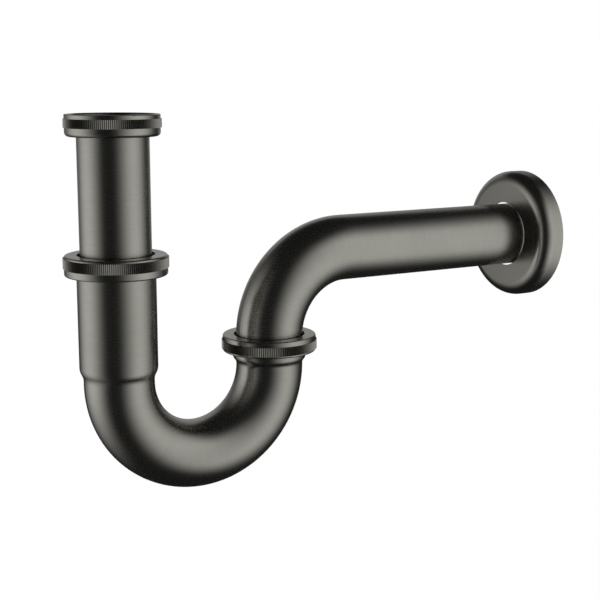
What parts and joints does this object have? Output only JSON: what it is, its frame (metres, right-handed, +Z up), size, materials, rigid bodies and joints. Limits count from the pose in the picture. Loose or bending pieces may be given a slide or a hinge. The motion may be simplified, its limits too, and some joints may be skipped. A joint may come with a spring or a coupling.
{
  "type": "sink trap",
  "caption": "Tubular sink trap with knurled union nuts, a bent water seal, a swivelling outlet tube and a round wall plate.",
  "frame": {"origin": "on the inlet's axis, on the rubber washer's top face inside the top nut, where the basin waste's end lands and its thread starts", "axes": "+Z up along the inlet tube towards the basin, +X from the inlet towards the wall along the outlet tube, Y across the plane of the trap"},
  "size_m": [0.3337, 0.0826, 0.2194],
  "materials": {
    "brushed_gunmetal": "brushed dark gunmetal plating on brass tube, grain across the tube",
    "nut_gunmetal": "turned and knurled brass, dark gunmetal plating",
    "plate_gunmetal": "pressed brass sheet, brushed dark gunmetal plating",
    "turned_brass": "bare turned brass",
    "black_rubber": "moulded black rubber",
    "black_nylon": "moulded black nylon"
  },
  "bodies": {
    "top_nut": {"top_union_nut": "nut_gunmetal", "top_slip_ring": "black_nylon"},
    "inlet_tube": {"inlet_tube": "brushed_gunmetal", "top_gasket": "black_rubber"},
    "middle_seal": {"middle_cone_seal": "black_rubber"},
    "trap_bend": {"u_bend": "brushed_gunmetal", "socket_thread_collar": "turned_brass", "outlet_thread_collar": "turned_brass", "outlet_cone_seal": "black_rubber"},
    "middle_ring": {"middle_slip_ring": "black_nylon"},
    "middle_nut": {"middle_union_nut": "nut_gunmetal"},
    "outlet_ring": {"outlet_slip_ring": "black_nylon"},
    "outlet_nut": {"outlet_union_nut": "nut_gunmetal"},
    "outlet_bend": {"outlet_bend": "brushed_gunmetal"},
    "wall_plate": {"wall_flange": "plate_gunmetal"}
  },
  "joints": [
    {"name": "inlet_swivel", "type": "hinge", "parent": "top_nut", "child": "inlet_tube", "pos_m": [0, 0, 0], "axis": [0, 0, 1], "continuous": true},
    {"name": "height_slide", "type": "slide", "parent": "inlet_tube", "child": "middle_seal", "axis": [0, 0, 1], "range_m": [-0.034, 0.015]},
    {"name": "bend_swing", "type": "hinge", "parent": "middle_seal", "child": "trap_bend", "pos_m": [0, 0, -0.078], "axis": [0, 0, 1], "continuous": true},
    {"name": "middle_ring_lift", "type": "slide", "parent": "trap_bend", "child": "middle_ring", "axis": [0, 0, 1], "range_m": [0, 0.00605]},
    {"name": "middle_nut_turn", "type": "hinge", "parent": "middle_ring", "child": "middle_nut", "pos_m": [0, 0, -0.075], "axis": [0, 0, 1], "range_deg": [0, 1080]},
    {"name": "outlet_ring_lift", "type": "slide", "parent": "trap_bend", "child": "outlet_ring", "axis": [0, 0, 1], "range_m": [0, 0.00455]},
    {"name": "outlet_nut_turn", "type": "hinge", "parent": "outlet_ring", "child": "outlet_nut", "pos_m": [0.0973, 0, -0.13], "axis": [0, 0, 1], "range_deg": [0, 810]},
    {"name": "outlet_swing", "type": "hinge", "parent": "trap_bend", "child": "outlet_bend", "pos_m": [0.0973, 0, -0.13], "axis": [0, 0, 1], "range_deg": [-132, 132]},
    {"name": "wall_plate_slide", "type": "slide", "parent": "outlet_bend", "child": "wall_plate", "axis": [1, 0, 0], "range_m": [-0.125, 0]}
  ],
  "couplings": [
    {"joint": "middle_ring_lift", "follows": "middle_nut_turn", "m_per_rad": 0.00031831},
    {"joint": "outlet_ring_lift", "follows": "outlet_nut_turn", "m_per_rad": 0.00031831}
  ]
}
